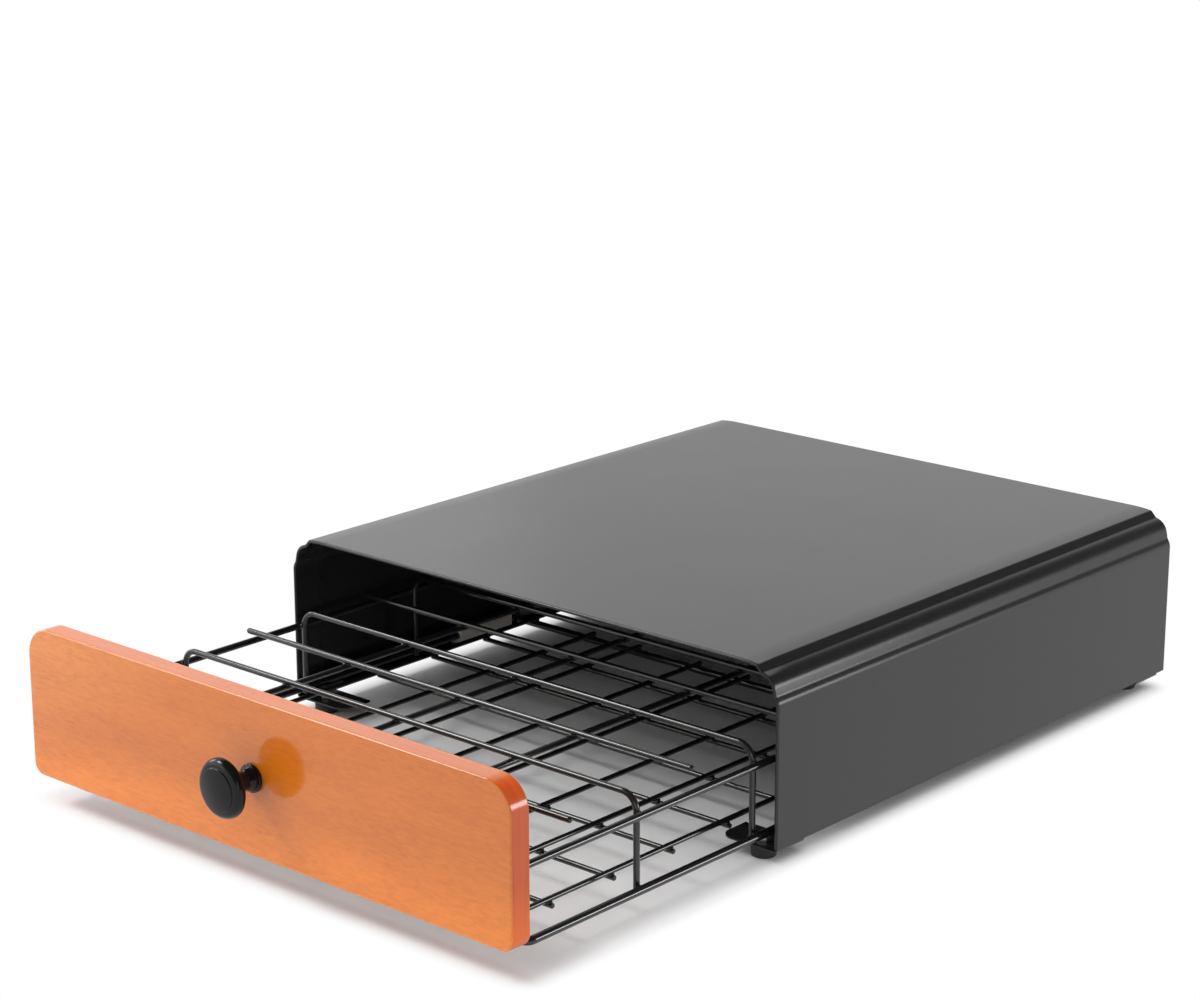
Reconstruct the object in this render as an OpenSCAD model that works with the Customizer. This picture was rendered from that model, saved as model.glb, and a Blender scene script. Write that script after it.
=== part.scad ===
// Coffee pod drawer: a bent steel housing on four rubber feet, and a wire basket with a
// wooden front that slides in two runners inside it. Millimetres, Z up.
// The origin lies on the floor, in the middle of the drawer as it stands partly open.
// X runs across, and the front faces -Y.

/* [Housing] */
// Width across the side walls
body_w = 320; // [300:1:400]
// Depth from the front edge to the rear edge
body_d = 334; // [290:1:420]
// Height of the flat top above the floor
body_h = 95.5; // [88:0.5:120]
// Thickness of the bent sheet
sheet = 0.9; // [0.6:0.1:1.2]
// Height of the side walls' free bottom edge above the floor
side_clear = 8; // [7.5:0.5:9]
// Depth of the hem that is folded inwards along the front edge
hem_d = 25; // [10:1:60]

/* [Top corners] */
// Drop of the step between the flat top and the round corner
top_step = 3.9; // [2:0.1:6]
// Width over which that step falls
top_run = 5.7; // [4.5:0.1:8]
// Step between the round corner and the side wall
side_step = 1.4; // [0.5:0.1:2.5]
// Height over which that step runs
side_run = 3.8; // [3:0.1:6]
// Radius of the round corner
corner_r = 9; // [5:0.5:14]

/* [Foot tabs] */
// Height of the tabs' underside above the floor
tab_z = 6.25; // [5.5:0.25:6.5]
// Width of a tab, inwards from the side wall
tab_w = 34; // [30:0.5:40]
// Length of a tab along the side wall
tab_l = 20; // [19:0.5:24]
// Radius of a tab's two free corners
tab_r = 7; // [3:0.5:9]
// Distance from the housing's front edge to the front tabs
front_inset = 0.6; // [0.2:0.1:2]
// Distance from the housing's rear edge to the rear tabs
back_inset = 7; // [4:0.5:8]

/* [Feet] */
// Diameter of a rubber foot
foot_d = 12.4; // [11:0.2:14]
// Distance from the side wall's outside to the foot's axis
foot_in = 13.8; // [12.5:0.1:15]
// Distance from the housing's front edge to a front foot's axis
front_foot = 8.4; // [8:0.1:12]
// Distance from the housing's rear edge to a rear foot's axis
back_foot = 17; // [15:0.5:20]
// Diameter of the foot screws
foot_screw_d = 3; // [2.5:0.5:3]
// Diameter of the foot screws' heads
foot_head_d = 5.6; // [5:0.1:7]
// Height of the foot screws' heads
foot_head_h = 1.6; // [1:0.1:1.8]
// Width of the foot nuts across their flats
foot_nut_w = 5.5; // [5:0.1:6]
// Height of the foot nuts
foot_nut_h = 1.8; // [1.6:0.1:2]
// Height at which the foot screws' heads sit in the feet
foot_head_z = 0.8; // [0.5:0.1:1.2]

/* [Rear panel] */
// Distance from the rear edge in to the rear panel
rear_inset = 1; // [0.5:0.1:5]
// Depth of the panel's flange, which lies along the housing's inside
rear_flange = 8; // [5:0.5:15]
// Diameter of the two rubber bumpers that the basket closes against
bumper_d = 10; // [6:0.5:12]
// Thickness of those bumpers
bumper_t = 1.7; // [1.2:0.1:3]
// Distance from the middle to each bumper
bumper_x = 100; // [40:1:120]

/* [Runners] */
// Height of a runner channel
runner_h = 10.4; // [9:0.1:12]
// Width of a runner channel
runner_w = 7.6; // [6:0.1:7.6]
// Thickness of a runner's sheet
runner_t = 1; // [0.6:0.1:1.2]
// Length of the plastic guide in each runner's mouth
guide_l = 12; // [6:0.5:20]
// Length of the glide block on each rear end of the basket
glide_l = 40; // [20:1:60]
// Wall of a glide block on the wire's inner side
glide_wall = 1.4; // [1:0.1:2.5]
// Gap between the closed front board and the runners
runner_gap = 1.2; // [0.5:0.1:4]

/* [Front board] */
// Height of the board
board_h = 74.6; // [60:0.2:74.8]
// Thickness of the board
board_t = 11.3; // [10:0.1:18]
// Radius of the board's two top corners
board_top_r = 14.5; // [12:0.5:24]
// Radius of the board's two bottom corners
board_low_r = 6; // [2:0.5:20]
// Gap between the board and the housing at each side
board_side_gap = 0.6; // [0.4:0.1:2]
// Gap between the board's top edge and the housing's corner steps
board_top_gap = 0.5; // [0.4:0.1:3]
// How far the drawer is pulled out as it stands
pull = 171.75; // [60:0.25:220]

/* [Knob] */
// Diameter of the knob's head
knob_d = 28; // [26:0.5:36]
// How far the knob stands out from the board
knob_out = 22.5; // [20:0.5:35]
// Diameter of the knob's foot
knob_foot_d = 13.5; // [12:0.5:20]
// Diameter of the knob's neck
knob_neck_d = 9; // [8:0.5:11]
// Thickness of the knob's head at its rim
knob_rim_t = 4.5; // [3:0.1:6]
// Height of the straight edge of the knob's foot
knob_foot_t = 1.6; // [1:0.1:2.4]
// Height at which the foot has narrowed to the neck
knob_waist = 5.6; // [4.5:0.1:6.5]
// Height over which the neck widens to the head
knob_flare = 4.5; // [3:0.1:5]
// Diameter of the face disc that stands out from the knob's rim
knob_face_d = 22; // [16:0.5:22]
// Height by which the face disc stands out from the rim
knob_step = 0.9; // [0.6:0.1:1.5]
// Radius of the face disc's edge
knob_edge_r = 0.4; // [0.2:0.1:0.5]
// Height of the dome on the face disc
knob_dome = 1.1; // [0.6:0.1:2]
// Height of the knob's axis above the floor
knob_z = 52.5; // [40:0.5:58]
// Diameter of the knob's screw
knob_screw_d = 4; // [3:0.5:5]
// Length of the knob's screw inside the knob
knob_bite = 12; // [8:0.5:14]

/* [Basket wires] */
// Diameter of the bottom frame's wire
frame_d = 4; // [3:0.1:4.4]
// Diameter of the two upper side rails
upper_d = 3.5; // [2.5:0.1:4.5]
// Diameter of the hoops, the middle wires and the dividers
wire_d = 3; // [2:0.1:3.5]
// Diameter of the floor's wires
floor_d = 2.6; // [2:0.1:3.2]
// Distance from the side wall's outside to the bottom frame's axis
frame_in = 8; // [7.8:0.1:8.5]
// Height of the bottom frame's axis
frame_z = 14; // [13.6:0.1:14.2]
// Bend radius of the bottom frame's corners
frame_r = 4; // [3:0.1:5]
// Height of the upper side rails' axes
upper_z = 48.5; // [35:0.5:48.5]
// Height of the hoops' and the middle wires' axes
mid_z = 57; // [54:0.5:70]
// Bend radius of the hoops
hoop_r = 8; // [5:0.5:8]
// Depth of the first cell, from the board to the first cross wire
first_cell = 37; // [25:0.5:45]
// Length by which a side hoop's post ends above the frame's underside
post_up = 0.6; // [0:0.1:2]
// Distance between the columns of pods
column = 75; // [60:0.5:75]
// Half the distance between the two floor rails under a column
cradle = 21; // [12:0.5:24]
// How far the floor's cross wires reach past the outermost rails
floor_over = 2.5; // [1.5:0.1:6]

/* [Board fasteners] */
// Width of a mounting plate
plate_w = 16; // [12:0.5:24]
// Thickness of a mounting plate
plate_t = 1.5; // [1:0.1:2.5]
// Height of a mounting plate
plate_h = 50; // [46:0.5:54]
// Height of the lower screw in a mounting plate
screw_low_z = 26; // [23:0.5:29]
// Distance between the two screws in a mounting plate
screw_step = 17; // [10:0.5:19]
// Diameter of the board screws
screw_d = 3.4; // [2.5:0.1:4]
// Length of the board screws inside the wood
screw_bite = 8.5; // [6:0.5:9]
// Diameter of the board screws' and the knob screw's heads
head_d = 7.6; // [6:0.1:9]
// Height of those heads
head_h = 2.5; // [1.5:0.1:3]
// Diameter of the washer under the knob screw's head
washer_d = 12; // [10:0.5:16]
// Thickness of that washer
washer_t = 1; // [0.6:0.1:1.6]

/* [Clearances] */
// Gap between parts that lie on each other
fit = 0.1; // [0.05:0.05:0.2]
// Running gap between the sliding parts
play = 0.3; // [0.2:0.05:0.4]
// Gap left when the drawer meets its stops
stop_gap = 0.5; // [0.2:0.1:2]

/* [Hidden] */
$fn = 48;
COLUMNS = 4;
CELLS = 8;
MOUNT_COLUMN = 1;

// Where things lie along Y: the housing's front and rear planes, then the drawer's own planes
front_y = -(body_d - pull - knob_out) / 2;
rear_y = front_y + body_d;
board_y = front_y - pull;
board_back_y = board_y + board_t;
plate_back_y = board_back_y + plate_t;
panel_y = rear_y - rear_inset - sheet;
basket_end_y = panel_y - bumper_t - stop_gap - pull;
first_y = board_back_y + first_cell;
front_hoop_y = plate_back_y + wire_d / 2;
rear_hoop_y = basket_end_y - wire_d / 2;
cell_d = (rear_hoop_y - first_y) / (CELLS - 1);
front_bar_y = plate_back_y + frame_d / 2;
rear_bar_y = basket_end_y - frame_d / 2;

// Where things lie across: the bottom frame, the hoops' posts and the upper rails
frame_x = body_w / 2 - frame_in;
post_x = frame_x - frame_d / 2 - wire_d / 2;
upper_x = post_x + wire_d / 2 + upper_d / 2;
floor_x = column * (COLUMNS - 1) / 2 + cradle;

// Heights
frame_top_z = frame_z + frame_d / 2;
floor_z = frame_top_z + floor_d / 2;
cross_z = floor_z - floor_d;
divider_z = mid_z - wire_d;
board_w = body_w - 2 * (2 * sheet + board_side_gap);
board_top_z = body_h - top_step - 2 * sheet - board_top_gap;
board_low_z = board_top_z - board_h;
plate_z = frame_z - frame_d / 2;
tab_top_z = tab_z + sheet;
bend_r = side_clear - tab_z;

// The runners and what slides in them
runner_x = body_w / 2 - 2 * sheet - 2 * fit;
runner_z = side_clear + fit;
runner_y = front_y + board_t + runner_gap;
guide_end_y = runner_y + guide_l;
cavity_x = runner_x - runner_t;
cavity_low = runner_z + runner_t;
cavity_top = runner_z + runner_h - runner_t;
glide_end_y = rear_bar_y - frame_r;

// The round corner's centre
corner_x = body_w / 2 - side_step - corner_r;
corner_z = body_h - top_step - corner_r;
// How far the steps shift sideways where the outline is drawn further in
top_shift = tan(atan(PI / 2 * top_step / top_run) / 2);
side_shift = tan(atan(PI / 2 * side_step / side_run) / 2);

// ---- Outlines ----

function arc(centre, r, from, to, steps = 10) = [
    for (i = [0:steps])
        let (a = from + (to - from) * i / steps)
        [centre.x + r * cos(a), centre.y + r * sin(a)]
];

// Eases from one point to another: level at both ends, or upright at both ends
function level_step(p, q, steps = 10) = [
    for (i = [0:steps])
        let (t = i / steps, s = (1 - cos(180 * t)) / 2)
        [p.x + (q.x - p.x) * t, p.y + (q.y - p.y) * s]
];
function upright_step(p, q, steps = 10) = [
    for (p2 = level_step([p.y, p.x], [q.y, q.x], steps)) [p2.y, p2.x]
];

function reversed(points) = [for (i = [len(points) - 1:-1:0]) points[i]];
function mirrored(points) = [for (p = points) [-p.x, p.y]];

// Right half of the housing's section, drawn a distance d inside its outer face
function half_outline(d) = concat(
    [[body_w / 2 - d, side_clear]],
    upright_step(
        [body_w / 2 - d, corner_z - side_run - side_shift * d],
        [body_w / 2 - side_step - d, corner_z - side_shift * d]
    ),
    arc([corner_x, corner_z], corner_r - d, 0, 90),
    level_step(
        [corner_x - top_shift * d, body_h - top_step - d],
        [corner_x - top_run - top_shift * d, body_h - d]
    )
);
function outline(d) = concat(half_outline(d), reversed(mirrored(half_outline(d))));

// ---- Helpers ----

// Extrudes an XZ outline along Y, from y0 to y1
module along_y(y0, y1) {
    translate([0, y1, 0]) rotate([90, 0, 0]) linear_extrude(y1 - y0) children();
}

// The housing's section between two depths below its outer face
module sheet_ring(outer, inner) {
    polygon(concat(outline(outer), reversed(outline(inner))));
}

module both_sides() {
    children();
    mirror([1, 0, 0]) children();
}

module at_feet() {
    for (y = [front_y + front_foot, rear_y - back_foot])
        for (x = [-1, 1] * (body_w / 2 - foot_in))
            translate([x, y, 0]) children();
}

// A straight round bar along Y or along X
module bar_y(d, y0, y1) {
    translate([0, y0, 0]) rotate([-90, 0, 0]) cylinder(d = d, h = y1 - y0);
}
module bar_x(d, half_length) {
    translate([-half_length, 0, 0]) rotate([0, 90, 0]) cylinder(d = d, h = 2 * half_length);
}

// A quarter bend in the XY plane, from +X round to +Y about the origin
module quarter_bend(d, r) {
    rotate_extrude(angle = 90) translate([r, 0]) circle(d = d);
}

// ---- Housing ----

module tab_section() {
    polygon(concat(
        [[body_w / 2, side_clear + sheet]],
        arc([body_w / 2 - bend_r, side_clear], bend_r, 0, -90),
        [[body_w / 2 - tab_w, tab_z], [body_w / 2 - tab_w, tab_top_z]],
        arc([body_w / 2 - bend_r, side_clear], bend_r - sheet, -90, 0),
        [[body_w / 2 - sheet, side_clear + sheet]]
    ));
}

module tab_plan() {
    translate([body_w / 2 - tab_w, 0]) {
        translate([tab_r, 0]) square([tab_w, tab_l]);
        translate([0, tab_r]) square([tab_r * 2, tab_l - 2 * tab_r]);
        translate([tab_r, tab_r]) circle(r = tab_r);
        translate([tab_r, tab_l - tab_r]) circle(r = tab_r);
    }
}

module tab(y0) {
    intersection() {
        along_y(y0, y0 + tab_l) tab_section();
        translate([0, y0, 0]) linear_extrude(side_clear + 2 * sheet) tab_plan();
    }
}

module housing_shell() {
    color("#26262a") difference() {
        union() {
            along_y(front_y, rear_y) sheet_ring(0, sheet);
            along_y(front_y, front_y + hem_d) sheet_ring(sheet, 2 * sheet);
            both_sides() {
                tab(front_y + front_inset);
                tab(rear_y - back_inset - tab_l);
            }
        }
        at_feet() cylinder(d = foot_screw_d + 2 * fit, h = side_clear);
    }
}

module rear_panel() {
    flange_y = panel_y + sheet - rear_flange;
    color("#232326") {
        along_y(panel_y, panel_y + sheet) polygon(outline(sheet + fit));
        along_y(flange_y, panel_y) sheet_ring(sheet + fit, 2 * sheet + fit);
    }
}

module rear_bumpers() {
    color("#1c1c1c")
        for (x = [-bumper_x, bumper_x])
            translate([x, panel_y - bumper_t, frame_z])
                rotate([-90, 0, 0]) cylinder(d = bumper_d, h = bumper_t);
}

// ---- Feet ----

module foot(x_side, y) {
    color("#151515")
        translate([x_side * (body_w / 2 - foot_in), y, 0])
            difference() {
                cylinder(d = foot_d, h = tab_z);
                cylinder(d = foot_screw_d + 2 * fit, h = tab_z);
                cylinder(d = foot_head_d + 4 * fit, h = foot_head_z + foot_head_h);
            }
}

module foot_screws() {
    color("#8a8a8a") at_feet() {
        translate([0, 0, foot_head_z]) cylinder(d = foot_head_d, h = foot_head_h);
        translate([0, 0, foot_head_z])
            cylinder(d = foot_screw_d, h = tab_top_z + foot_nut_h - foot_head_z);
    }
}

module foot_nuts() {
    color("#8a8a8a") at_feet()
        translate([0, 0, tab_top_z]) difference() {
            rotate([0, 0, 30]) cylinder(d = foot_nut_w / cos(30), h = foot_nut_h, $fn = 6);
            cylinder(d = foot_screw_d + fit / 5, h = foot_nut_h);
        }
}

// ---- Runners and what slides in them ----

module runner() {
    color("#3a3a3d") along_y(runner_y, panel_y - fit)
        translate([runner_x - runner_w, runner_z]) difference() {
            square([runner_w, runner_h]);
            translate([-runner_t, runner_t]) square([runner_w, runner_h - 2 * runner_t]);
        }
}

// Fills the runner's mouth, with a slot in which the bottom frame's wire slides
module runner_guide() {
    slot_d = frame_d + 2 * play;
    color("#1b1b1b") along_y(runner_y, guide_end_y) difference() {
        translate([runner_x - runner_w, cavity_low + fit])
            square([runner_w - runner_t - fit, cavity_top - cavity_low - 2 * fit]);
        translate([frame_x, frame_z]) circle(d = slot_d);
        translate([frame_x - runner_w, frame_z - slot_d / 2]) square([runner_w, slot_d]);
    }
}

// Threaded on the frame's wire, and runs inside the channel
module glide() {
    glide_w = cavity_x - play - (frame_x - frame_d / 2 - glide_wall);
    color("#e6e3da") along_y(glide_end_y - glide_l, glide_end_y) difference() {
        translate([cavity_x - play - glide_w, cavity_low + play])
            square([glide_w, cavity_top - cavity_low - 2 * play]);
        translate([frame_x, frame_z]) circle(d = frame_d + fit / 5);
    }
}

// ---- Front board and knob ----

module board_face() {
    low = board_low_z;
    difference() {
        union() {
            translate([-board_w / 2, low + board_low_r])
                square([board_w, board_h - board_low_r - board_top_r]);
            translate([board_low_r - board_w / 2, low])
                square([board_w - 2 * board_low_r, board_low_r]);
            translate([board_top_r - board_w / 2, board_top_z - board_top_r])
                square([board_w - 2 * board_top_r, board_top_r]);
            for (side = [-1, 1]) {
                translate([side * (board_w / 2 - board_low_r), low + board_low_r])
                    circle(r = board_low_r);
                translate([side * (board_w / 2 - board_top_r), board_top_z - board_top_r])
                    circle(r = board_top_r);
            }
        }
        translate([0, knob_z]) circle(d = knob_screw_d + 4 * fit);
    }
}

// Sinks the knob screw's head and washer into the back of the board
module knob_counterbore() {
    depth = washer_t + head_h + fit;
    translate([0, 0, knob_z]) bar_y(washer_d + 4 * fit, board_back_y - depth, board_back_y);
}

module at_board_screws() {
    for (side = [-1, 1])
        for (i = [0, 1])
            translate([side * MOUNT_COLUMN * column, 0, screw_low_z + i * screw_step]) children();
}

module front_board() {
    color("#d07a42") difference() {
        along_y(board_y, board_back_y) board_face();
        knob_counterbore();
        at_board_screws() bar_y(screw_d + 2 * fit, board_back_y - screw_bite - fit, board_back_y);
    }
}

// Section of the knob, from its axis outwards, standing on the board
function knob_section() = let (
        face_z = knob_out - knob_dome,
        rim_z = face_z - knob_step - knob_rim_t / 2,
        rim_x = (knob_d - knob_rim_t) / 2,
        flare_z = rim_z - knob_rim_t / 2 - knob_edge_r,
        edge_x = knob_face_d / 2 - knob_edge_r
    ) concat(
    [[0, 0], [knob_foot_d / 2, 0], [knob_foot_d / 2, knob_foot_t]],
    level_step(
        [knob_foot_d / 2 - knob_edge_r, knob_foot_t + knob_edge_r],
        [knob_neck_d / 2, knob_waist]
    ),
    level_step([knob_neck_d / 2, flare_z - knob_flare], [rim_x - knob_edge_r, flare_z]),
    arc([rim_x, rim_z], knob_rim_t / 2, -75, 80),
    [[knob_face_d / 2, face_z - knob_step]],
    arc([edge_x, face_z - knob_edge_r], knob_edge_r, 0, 90, 4),
    [for (i = [1:10]) let (t = 1 - i / 10) [edge_x * t, knob_out - knob_dome * t * t]]
);

module knob() {
    color("#18181a") translate([0, board_y, knob_z]) rotate([90, 0, 0]) difference() {
        rotate_extrude() polygon(knob_section());
        cylinder(d = knob_screw_d + fit / 5, h = knob_bite + stop_gap);
    }
}

module knob_screw() {
    head_y = board_back_y - fit - head_h;
    color("#8f8f8f") translate([0, 0, knob_z]) {
        bar_y(knob_screw_d, board_y - knob_bite, head_y + head_h);
        bar_y(head_d, head_y, head_y + head_h);
    }
}

module knob_washer() {
    washer_y = board_back_y - fit - head_h - washer_t;
    color("#9a9a9a") translate([0, 0, knob_z]) difference() {
        bar_y(washer_d, washer_y, washer_y + washer_t);
        bar_y(knob_screw_d + 2 * fit, washer_y, washer_y + washer_t);
    }
}

module mounting_plate(side) {
    color("#202022") difference() {
        translate([side * MOUNT_COLUMN * column - plate_w / 2, board_back_y, plate_z])
            cube([plate_w, plate_t, plate_h]);
        at_board_screws() bar_y(screw_d + 4 * fit, board_back_y, plate_back_y);
    }
}

module board_screws() {
    color("#8f8f8f") at_board_screws() {
        bar_y(screw_d, board_back_y - screw_bite, plate_back_y + head_h);
        bar_y(head_d, plate_back_y, plate_back_y + head_h);
    }
}

// ---- Basket ----

// One wire bent into a closed rectangle
module bottom_frame() {
    side_low = front_bar_y + frame_r;
    side_high = rear_bar_y - frame_r;
    color("#1d1d1f") translate([0, 0, frame_z]) {
        for (y = [front_bar_y, rear_bar_y])
            translate([0, y, 0]) bar_x(frame_d, frame_x - frame_r);
        both_sides() {
            translate([frame_x, 0, 0]) bar_y(frame_d, side_low, side_high);
            translate([frame_x - frame_r, side_high, 0]) quarter_bend(frame_d, frame_r);
            translate([frame_x - frame_r, side_low, 0])
                mirror([0, 1, 0]) quarter_bend(frame_d, frame_r);
        }
    }
}

module upper_rail(side) {
    color("#1d1d1f") translate([side * upper_x, 0, upper_z])
        bar_y(upper_d, board_back_y, basket_end_y);
}

// One wire bent into an arch: two posts and the cross wire between them
module hoop(y, foot_z) {
    color("#1d1d1f") translate([0, y, 0]) {
        translate([0, 0, mid_z]) bar_x(wire_d, post_x - hoop_r);
        both_sides() {
            translate([post_x, 0, foot_z]) cylinder(d = wire_d, h = mid_z - hoop_r - foot_z);
            translate([post_x - hoop_r, 0, mid_z - hoop_r])
                rotate([90, 0, 0]) quarter_bend(wire_d, hoop_r);
        }
    }
}

module end_hoop(y) {
    hoop(y, frame_top_z);
}

module side_hoop(index) {
    hoop(first_y + (2 * index - 1) * cell_d, frame_z - frame_d / 2 + post_up);
}

// A straight cross wire with rounded free ends
module middle_wire(index) {
    reach = post_x - wire_d;
    color("#1d1d1f") translate([0, first_y + 2 * (index - 1) * cell_d, mid_z]) {
        bar_x(wire_d, reach);
        for (x = [-reach, reach]) translate([x, 0, 0]) sphere(d = wire_d);
    }
}

module divider(place) {
    color("#1d1d1f") translate([place * column, 0, divider_z])
        bar_y(wire_d, plate_back_y, basket_end_y);
}

module floor_rail(index) {
    pair = floor((index - 1) / 2);
    side = (index - 1) % 2 == 0 ? -1 : 1;
    x = (pair - (COLUMNS - 1) / 2) * column + side * cradle;
    color("#1d1d1f") translate([x, 0, floor_z]) bar_y(floor_d, plate_back_y, basket_end_y);
}

module floor_wire(index) {
    color("#1d1d1f") translate([0, first_y + (index - 1) * cell_d, cross_z])
        bar_x(floor_d, floor_x + floor_over);
}

// ---- Choice of node ----

housing_shell();
rear_panel();
rear_bumpers();
mirror([1, 0, 0]) runner();  // runner_left
runner();  // runner_right
mirror([1, 0, 0]) runner_guide();  // runner_guide_left
runner_guide();  // runner_guide_right
foot(-1, front_y + front_foot);  // foot_front_left
foot(1, front_y + front_foot);  // foot_front_right
foot(-1, rear_y - back_foot);  // foot_rear_left
foot(1, rear_y - back_foot);  // foot_rear_right
foot_screws();
foot_nuts();
front_board();
knob();
knob_screw();
knob_washer();
mounting_plate(-1);  // mounting_plate_left
mounting_plate(1);  // mounting_plate_right
board_screws();
bottom_frame();
upper_rail(-1);  // upper_rail_left
upper_rail(1);  // upper_rail_right
end_hoop(front_hoop_y);  // front_hoop
end_hoop(rear_hoop_y);  // rear_hoop
for (i = [1:3])
    side_hoop(i);
for (i = [1:4])
    middle_wire(i);
divider(-1);  // divider_left
divider(0);  // divider_middle
divider(1);  // divider_right
for (i = [1:2 * COLUMNS])
    floor_rail(i);
for (i = [1:CELLS - 1])
    floor_wire(i);
mirror([1, 0, 0]) glide();  // glide_left
glide();  // glide_right
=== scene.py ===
"""Looks of a coffee pod drawer: a bent steel housing, a wire basket and a lacquered wooden front."""

import math

import bmesh
import bpy
from mathutils import Matrix, Vector

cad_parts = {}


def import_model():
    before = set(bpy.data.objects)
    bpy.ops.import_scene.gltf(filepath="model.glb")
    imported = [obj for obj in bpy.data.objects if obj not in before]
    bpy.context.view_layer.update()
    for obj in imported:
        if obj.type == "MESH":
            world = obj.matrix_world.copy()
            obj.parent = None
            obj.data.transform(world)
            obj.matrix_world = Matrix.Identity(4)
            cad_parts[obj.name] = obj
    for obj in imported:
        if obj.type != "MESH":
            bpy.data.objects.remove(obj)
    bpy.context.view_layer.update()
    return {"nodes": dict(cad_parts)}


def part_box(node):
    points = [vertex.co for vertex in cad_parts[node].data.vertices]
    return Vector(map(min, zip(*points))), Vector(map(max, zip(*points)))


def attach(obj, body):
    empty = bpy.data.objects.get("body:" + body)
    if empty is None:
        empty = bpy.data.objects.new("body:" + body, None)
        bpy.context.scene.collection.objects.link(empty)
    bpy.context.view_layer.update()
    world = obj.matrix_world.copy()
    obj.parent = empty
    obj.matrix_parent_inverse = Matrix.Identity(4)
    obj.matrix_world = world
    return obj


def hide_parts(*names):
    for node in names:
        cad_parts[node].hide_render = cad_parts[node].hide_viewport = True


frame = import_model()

MM = 0.001
X, Y, Z = Vector((1, 0, 0)), Vector((0, 1, 0)), Vector((0, 0, 1))

# ---- Sizes that the frame's boxes don't give, with angles in degrees ----

# The housing's sheet, and the hem along its front edge with the lip that ends it
SHEET = 0.9 * MM
SHEET_ARRIS = 0.22 * MM
FOLD_ROUND = 0.92 * SHEET
HEM = 18 * MM
HEM_LIP = 1.4 * MM
HEM_LIP_T = 0.45 * MM

# The housing's stepped corner, from the flat top out and down to the side, with angles below level
LEAD_R = 90 * MM
LEAD_ANGLE = 7
STEP_R = 2.3 * MM
STEP_ANGLE = 48
STEP_L = 2.9 * MM
STEP_FOOT_R = 2.2 * MM
SHOULDER_ANGLE = 13
CORNER_R = 8.3 * MM
LEAN_ANGLE = 78
LEAN_L = 3 * MM
FLARE_ANGLE = 60
FLARE_FOOT_R = 4 * MM
FLARE_L = 1.2 * MM
FLARE_R = 6 * MM

# The side's clearance over the floor, and the foot tabs bent in from its lower edge
SIDE_CLEAR = 8 * MM
TAB_Z = 6.25 * MM
TAB_W = 34 * MM
TAB_L = 20 * MM
TAB_R = 7 * MM
FRONT_INSET = 0.6 * MM
BACK_INSET = 7 * MM

# The back panel, the runner channels and the arris of both
FIT = 0.1 * MM
PAN_FOLD = 0.5 * MM
RUNNER_T = 1 * MM
RUNNER_BEND = 1.8 * MM
STRIP_ARRIS = 0.2 * MM

# The basket's wires, their bends, and how much of a wire's end is rounded, as a share of its radius
WIRE_SIDES = 20
FRAME_BEND = 4 * MM
HOOP_BEND = 8 * MM
CUT_TIP = 0.35
ROUND_TIP = 0.98

# The wooden front
BOARD_TOP_R = 14.5 * MM
BOARD_LOW_R = 6 * MM
BOARD_ARRIS = 0.9 * MM
COUNTERBORE_DEPTH = 3.6 * MM

# ---- Planes of the housing and of the wooden front ----

SHELL_LOW, SHELL_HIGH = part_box("housing_shell")
HALF_W = SHELL_HIGH.x
FRONT, REAR = SHELL_LOW.y, SHELL_HIGH.y
TOP = SHELL_HIGH.z
BEND_R = SIDE_CLEAR - TAB_Z
FRONT_PLANE, BOARD_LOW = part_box("front_board")[0].yz


# ---- Modelling tools ----

def take(*pieces):
    """Selects only these pieces, and makes the first one active."""
    bpy.ops.object.select_all(action="DESELECT")
    for piece in pieces:
        piece.select_set(True)
    bpy.context.view_layer.objects.active = pieces[0]


def add(kind, place, scale=(1, 1, 1), facing=Z, **options):
    """Adds a primitive at its place and size, with its place in its mesh, and opens it for editing."""
    bpy.ops.object.select_all(action="DESELECT")
    turn = facing.to_track_quat("Z", "Y").to_euler()
    getattr(bpy.ops.mesh, f"primitive_{kind}_add")(location=place, rotation=turn, **options)
    piece = bpy.context.object
    piece.scale = scale
    bpy.ops.object.transform_apply(location=True, rotation=True, scale=True)
    bpy.ops.object.mode_set(mode="EDIT")
    return piece


def centre(node):
    """The middle of a CAD node's box."""
    low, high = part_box(node)
    return (low + high) / 2


def underside(node):
    """The middle of the bottom of a CAD node's box."""
    place = centre(node)
    place.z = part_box(node)[0].z
    return place


def block(node):
    """A cube of the size of a CAD node's box, open for editing."""
    low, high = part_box(node)
    return add("cube", centre(node), high - low, size=1)


def pick(kind, test):
    """Selects only those vertices, edges or faces of the piece being edited that pass the test."""
    bpy.ops.mesh.select_mode(type=kind)
    bpy.ops.mesh.select_all(action="DESELECT")
    data = bpy.context.edit_object.data
    mesh = bmesh.from_edit_mesh(data)
    for item in {"VERT": mesh.verts, "EDGE": mesh.edges, "FACE": mesh.faces}[kind]:
        item.select_set(test(item))
    mesh.select_flush_mode()
    bmesh.update_edit_mesh(data)


def near(a, b):
    """Whether two lengths are the same but for rounding."""
    return abs(a - b) < 0.02 * MM


def lies_at(edge, axis, place):
    """Whether both ends of an edge lie at a place along an axis, such as "x"."""
    return all(near(getattr(vertex.co, axis), place) for vertex in edge.verts)


def along_y(edge):
    """Whether an edge runs along Y."""
    start = edge.verts[0].co
    return lies_at(edge, "x", start.x) and lies_at(edge, "z", start.z)


def faces_y(face):
    """Whether a face looks along Y rather than across it."""
    return abs(face.normal.y) > 0.5


def push(step):
    """Extrudes what is selected by a step."""
    bpy.ops.mesh.extrude_region_move(TRANSFORM_OT_translate={"value": step})


def push_along(section):
    """Extrudes what is selected from point to point of a section."""
    for (x, z), (next_x, next_z) in zip(section, section[1:]):
        push((next_x - x, 0, next_z - z))


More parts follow.
